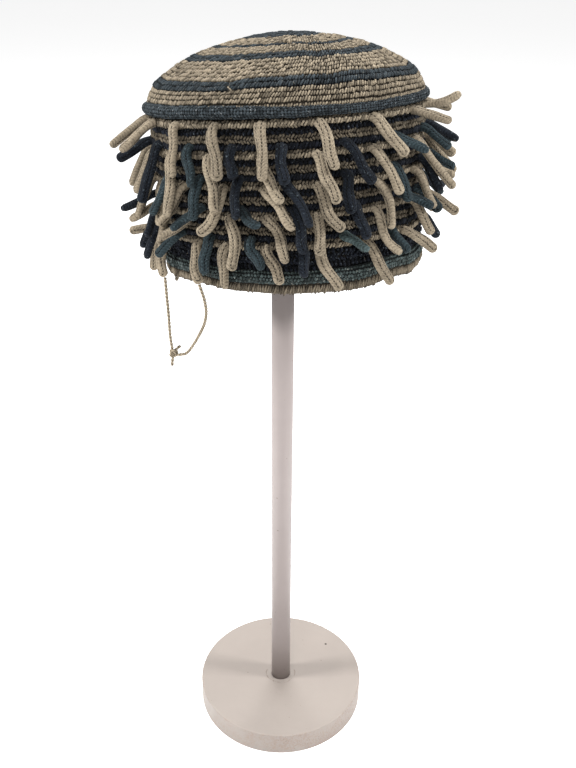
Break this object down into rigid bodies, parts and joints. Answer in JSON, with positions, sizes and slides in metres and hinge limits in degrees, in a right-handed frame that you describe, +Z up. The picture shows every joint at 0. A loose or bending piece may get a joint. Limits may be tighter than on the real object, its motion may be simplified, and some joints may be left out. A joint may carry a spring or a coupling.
{
  "type": "knitted prestige hat on a wooden display stand",
  "caption": "Domed drum-shaped cap of knitted and crocheted yarn with rings of finger-like cords, resting on a round wooden stand with a post.",
  "frame": {"origin": "centre of the base's underside, where the stand rests on the table", "axes": "+Z up along the post, -Y towards the front of the cap, +X to the right as seen from the front"},
  "size_m": [0.2414, 0.225, 0.6129],
  "materials": {
    "painted_wood": "satin lilac-grey paint, scuffed at the edges",
    "bare_wood": "plain turned wood",
    "tan_yarn": "undyed cotton yarn, matte",
    "blue_yarn": "faded blue cotton yarn, matte",
    "dark_yarn": "dark navy and teal cotton yarn, matte",
    "green_yarn": "green-grey cotton yarn, matte"
  },
  "bodies": {
    "root": {"stand_base": "painted_wood", "stand_post": "painted_wood", "crown_knob": "bare_wood", "crown": "tan_yarn", "edge_roll": "blue_yarn", "side_wall": "dark_yarn", "hem_band": "green_yarn", "hem_edge": "tan_yarn", "tan_fingers_1": "tan_yarn", "tan_fingers_2": "tan_yarn", "tan_fingers_3": "tan_yarn", "tan_fingers_4": "tan_yarn", "tan_fingers_5": "tan_yarn", "dark_fingers_1": "dark_yarn", "dark_fingers_2": "dark_yarn", "dark_fingers_3": "dark_yarn", "dark_fingers_4": "dark_yarn", "tie_cord_left": "tan_yarn", "tie_cord_right": "tan_yarn", "cord_knot": "tan_yarn"}
  },
  "joints": []
}
